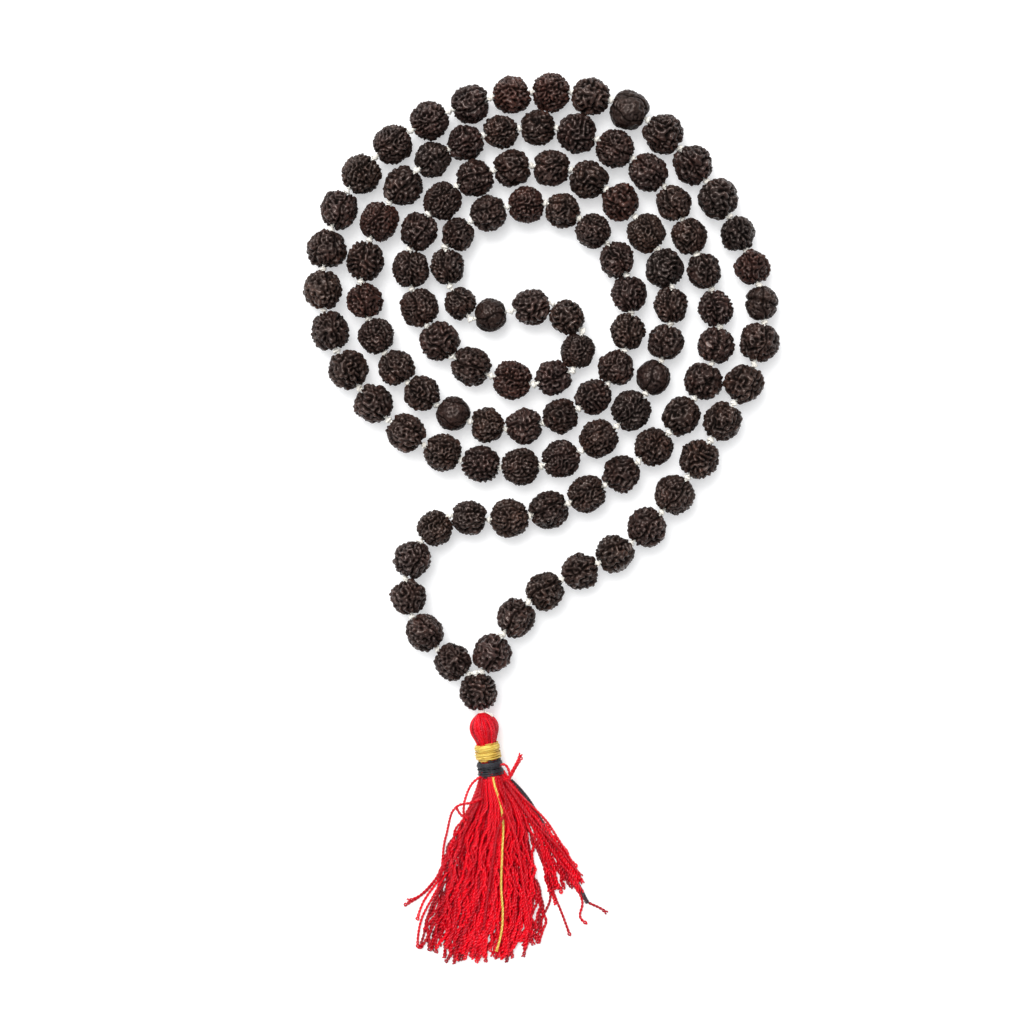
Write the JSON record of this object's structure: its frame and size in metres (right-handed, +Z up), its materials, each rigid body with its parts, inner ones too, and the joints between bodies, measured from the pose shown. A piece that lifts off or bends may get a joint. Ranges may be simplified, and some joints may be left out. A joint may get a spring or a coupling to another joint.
{
  "type": "mala prayer beads",
  "caption": "Knotted string of rudraksha prayer beads laid in a spiral, with a guru bead and a red tassel bound in gold and black thread.",
  "frame": {"origin": "on the table, under the centre of the bounding box", "axes": "+Z up from the table, +Y from the tassel towards the coil, +X to the right seen from above"},
  "size_m": [0.1019, 0.191, 0.0084],
  "materials": {
    "bead_seed": "semi-gloss oiled seed, knobbly",
    "string_cotton": "matte twisted cotton",
    "tassel_red": "twisted thread with a soft sheen",
    "gold_thread": "metallic gold thread",
    "black_thread": "matte black thread"
  },
  "bodies": {
    "coil": {"bead_strand_009_011": "bead_seed", "bead_strand_012_014": "bead_seed", "bead_strand_015_017": "bead_seed", "bead_strand_018_020": "bead_seed", "bead_strand_021_023": "bead_seed", "bead_strand_024_026": "bead_seed", "bead_strand_027_029": "bead_seed", "bead_strand_030_032": "bead_seed", "bead_strand_033_035": "bead_seed", "bead_strand_036_038": "bead_seed", "bead_strand_039_041": "bead_seed", "bead_strand_042_044": "bead_seed", "bead_strand_045_047": "bead_seed", "bead_strand_048_050": "bead_seed", "bead_strand_051_053": "bead_seed", "bead_strand_054_056": "bead_seed", "bead_strand_057_059": "bead_seed", "bead_strand_060_062": "bead_seed", "bead_strand_063_065": "bead_seed", "bead_strand_066_068": "bead_seed", "bead_strand_069_071": "bead_seed", "bead_strand_072_074": "bead_seed", "bead_strand_075_077": "bead_seed", "bead_strand_078_080": "bead_seed", "bead_strand_081_083": "bead_seed", "bead_strand_084_086": "bead_seed", "bead_strand_087_089": "bead_seed", "bead_strand_090_092": "bead_seed", "bead_strand_093_095": "bead_seed", "bead_strand_096_098": "bead_seed"},
    "lead_loop": {"lead_thread_right": "string_cotton", "lead_thread_left": "string_cotton"},
    "bead_003": {"bead_003": "bead_seed"},
    "bead_004": {"bead_004": "bead_seed"},
    "bead_005": {"bead_005": "bead_seed"},
    "bead_006": {"bead_006": "bead_seed"},
    "bead_007": {"bead_007": "bead_seed"},
    "bead_008": {"bead_008": "bead_seed"},
    "bead_099": {"bead_099": "bead_seed"},
    "bead_100": {"bead_100": "bead_seed"},
    "bead_101": {"bead_101": "bead_seed"},
    "bead_102": {"bead_102": "bead_seed"},
    "bead_103": {"bead_103": "bead_seed"},
    "bead_104": {"bead_104": "bead_seed"},
    "bead_105": {"bead_105": "bead_seed"},
    "guru_end": {"guru_thread_right": "string_cotton", "guru_thread_left": "string_cotton"},
    "bead_001": {"bead_001": "bead_seed"},
    "bead_002": {"bead_002": "bead_seed"},
    "bead_106": {"bead_106": "bead_seed"},
    "bead_107": {"bead_107": "bead_seed"},
    "bead_108": {"bead_108": "bead_seed"},
    "guru_bead": {"guru_bead": "bead_seed"},
    "end_knot": {"string_end_knot": "string_cotton"},
    "tassel": {"tassel_head": "tassel_red", "gold_wrap": "gold_thread", "black_wrap": "black_thread", "tassel_skirt": "tassel_red", "gold_strand": "gold_thread", "black_strand": "black_thread"}
  },
  "joints": [
    {"name": "lead_loop_lift", "type": "hinge", "parent": "coil", "child": "lead_loop", "pos_m": [0.036, 0.017, 0.0042], "axis": [-0.9603, -0.2788, 0], "range_deg": [0, 60]},
    {"name": "guru_end_fold", "type": "hinge", "parent": "lead_loop", "child": "guru_end", "pos_m": [-0.003, -0.0175, 0.0042], "axis": [-0.9826, 0.1854, -0.0056], "range_deg": [0, 25]},
    {"name": "tassel_swing", "type": "hinge", "parent": "guru_end", "child": "end_knot", "pos_m": [-0.0131, -0.0409, 0.0041], "axis": [0, 0, 1], "range_deg": [-30, 30]},
    {"name": "tassel_lift", "type": "hinge", "parent": "end_knot", "child": "tassel", "pos_m": [-0.0131, -0.0409, 0.0041], "axis": [-0.9897, -0.1433, 0], "range_deg": [0, 45]},
    {"name": "turn_guru_bead", "type": "hinge", "parent": "guru_end", "child": "guru_bead", "pos_m": [-0.0138, -0.0368, 0.0041], "axis": [0.1683, -0.9857, 0], "continuous": true},
    {"name": "turn_bead_003", "type": "hinge", "parent": "lead_loop", "child": "bead_003", "pos_m": [0.0005, -0.01515, 0.00411], "axis": [0.83, 0.5574, -0.0205], "continuous": true},
    {"name": "turn_bead_004", "type": "hinge", "parent": "lead_loop", "child": "bead_004", "pos_m": [0.00788, -0.01107, 0.00403], "axis": [0.9133, 0.4073, 0], "continuous": true},
    {"name": "turn_bead_005", "type": "hinge", "parent": "lead_loop", "child": "bead_005", "pos_m": [0.01537, -0.00717, 0.00411], "axis": [0.8578, 0.5137, 0.0204], "continuous": true},
    {"name": "turn_bead_006", "type": "hinge", "parent": "lead_loop", "child": "bead_006", "pos_m": [0.02225, -0.00167, 0.0042], "axis": [0.6987, 0.7154, 0], "continuous": true},
    {"name": "turn_bead_007", "type": "hinge", "parent": "lead_loop", "child": "bead_007", "pos_m": [0.02827, 0.00539, 0.0042], "axis": [0.5957, 0.8032, 0], "continuous": true},
    {"name": "turn_bead_008", "type": "hinge", "parent": "lead_loop", "child": "bead_008", "pos_m": [0.03352, 0.01306, 0.0042], "axis": [0.533, 0.8461, 0], "continuous": true},
    {"name": "turn_bead_099", "type": "hinge", "parent": "lead_loop", "child": "bead_099", "pos_m": [0.01692, 0.00999, 0.00418], "axis": [-0.8194, -0.5732, -0.0051], "continuous": true},
    {"name": "turn_bead_100", "type": "hinge", "parent": "lead_loop", "child": "bead_100", "pos_m": [0.00943, 0.00551, 0.00415], "axis": [-0.8927, -0.4507, 0], "continuous": true},
    {"name": "turn_bead_101", "type": "hinge", "parent": "lead_loop", "child": "bead_101", "pos_m": [0.00136, 0.00222, 0.00415], "axis": [-0.9532, -0.3024, -0.0002], "continuous": true},
    {"name": "turn_bead_102", "type": "hinge", "parent": "lead_loop", "child": "bead_102", "pos_m": [-0.00716, 0.00045, 0.00415], "axis": [-0.9947, -0.1029, -0.0005], "continuous": true},
    {"name": "turn_bead_103", "type": "hinge", "parent": "lead_loop", "child": "bead_103", "pos_m": [-0.01575, 0.0005, 0.004], "axis": [-0.9925, 0.1168, -0.0352], "continuous": true},
    {"name": "turn_bead_104", "type": "hinge", "parent": "lead_loop", "child": "bead_104", "pos_m": [-0.02316, -0.00178, 0.00395], "axis": [-0.75, -0.661, 0.0238], "continuous": true},
    {"name": "turn_bead_105", "type": "hinge", "parent": "lead_loop", "child": "bead_105", "pos_m": [-0.02791, -0.00853, 0.00405], "axis": [-0.3727, -0.9279, 0], "continuous": true},
    {"name": "turn_bead_001", "type": "hinge", "parent": "guru_end", "child": "bead_001", "pos_m": [-0.01085, -0.02852, 0.0042], "axis": [0.475, 0.88, 0], "continuous": true},
    {"name": "turn_bead_002", "type": "hinge", "parent": "guru_end", "child": "bead_002", "pos_m": [-0.00585, -0.02102, 0.0042], "axis": [0.6297, 0.7769, 0], "continuous": true},
    {"name": "turn_bead_106", "type": "hinge", "parent": "guru_end", "child": "bead_106", "pos_m": [-0.02873, -0.01667, 0.00406], "axis": [0.1812, -0.9834, 0.0031], "continuous": true},
    {"name": "turn_bead_107", "type": "hinge", "parent": "guru_end", "child": "bead_107", "pos_m": [-0.02533, -0.02422, 0.00408], "axis": [0.6136, -0.7896, 0.0016], "continuous": true},
    {"name": "turn_bead_108", "type": "hinge", "parent": "guru_end", "child": "bead_108", "pos_m": [-0.01935, -0.0303, 0.00409], "axis": [0.7789, -0.6271, 0], "continuous": true}
  ]
}
